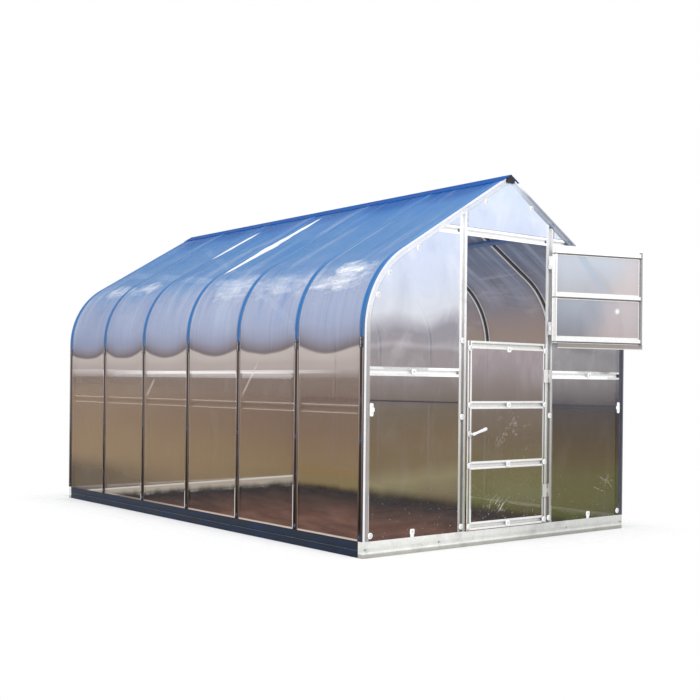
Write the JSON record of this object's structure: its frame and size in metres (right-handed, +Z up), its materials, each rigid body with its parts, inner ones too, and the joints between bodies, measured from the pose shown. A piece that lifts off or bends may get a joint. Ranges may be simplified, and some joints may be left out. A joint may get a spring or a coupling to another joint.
{
  "type": "polycarbonate greenhouse",
  "caption": "Clear-sheeted garden greenhouse with bent hat-section arches, curved eaves, a sharp ridge and a two-leaf end door.",
  "frame": {"origin": "on the ground at the middle of the front sill's outer face", "axes": "+X to the right seen from the front, +Y into the house along its length, +Z up"},
  "size_m": [2.5276, 4.4685, 2.4747],
  "materials": {
    "frame_steel": "galvanised, satin",
    "sill_steel": "galvanised, satin",
    "base_steel": "dark blue-grey, satin",
    "strap_steel": "blue-grey, satin",
    "bolt_steel": "dark blue, satin",
    "ridge_steel": "blue, satin",
    "purlin_steel": "dark blue-grey, satin",
    "cover_sheet": "clear twin-wall sheet with a blue cast",
    "end_sheet": "clear twin-wall sheet",
    "leaf_sheet": "clear twin-wall sheet",
    "handle": "white, satin",
    "plug_rubber": "black",
    "trim_steel": "galvanised, weathered",
    "pad_plastic": "white"
  },
  "bodies": {
    "house": {"base_front": "sill_steel", "base_back": "sill_steel", "base_left": "base_steel", "base_right": "base_steel", "arch_1": "frame_steel", "arch_2": "frame_steel", "arch_3": "frame_steel", "arch_4": "frame_steel", "arch_5": "frame_steel", "arch_6": "frame_steel", "arch_7": "frame_steel", "ridge_beam": "frame_steel", "wall_purlins": "frame_steel", "roof_purlins": "purlin_steel", "cover_left_front": "cover_sheet", "cover_left_rear": "cover_sheet", "cover_right_front": "cover_sheet", "cover_right_rear": "cover_sheet", "straps_left": "strap_steel", "straps_right": "strap_steel", "strap_bolts": "bolt_steel", "strap_joiners": "bolt_steel", "end_trims": "trim_steel", "ridge_cap_front": "ridge_steel", "ridge_cap_rear": "ridge_steel", "ridge_plugs": "plug_rubber", "front_posts": "frame_steel", "front_lintel": "frame_steel", "front_rails": "frame_steel", "front_panel_left": "end_sheet", "front_panel_right": "end_sheet", "front_panel_gable": "end_sheet", "back_rails": "frame_steel", "back_panel_lower": "end_sheet", "back_panel_upper": "end_sheet", "upper_leaf_frame": "frame_steel", "upper_leaf_panel": "leaf_sheet", "upper_leaf_hinges": "frame_steel", "post_hinges": "frame_steel", "front_pads": "pad_plastic"},
    "door": {"door_frame": "frame_steel", "door_panel": "leaf_sheet", "door_hinges": "frame_steel", "door_handle": "handle", "door_pads": "pad_plastic"}
  },
  "joints": [
    {"name": "door_swing", "type": "hinge", "parent": "house", "child": "door", "pos_m": [0.4, -0.014, 0.1], "axis": [0, 0, 1], "range_deg": [0, 155]}
  ]
}
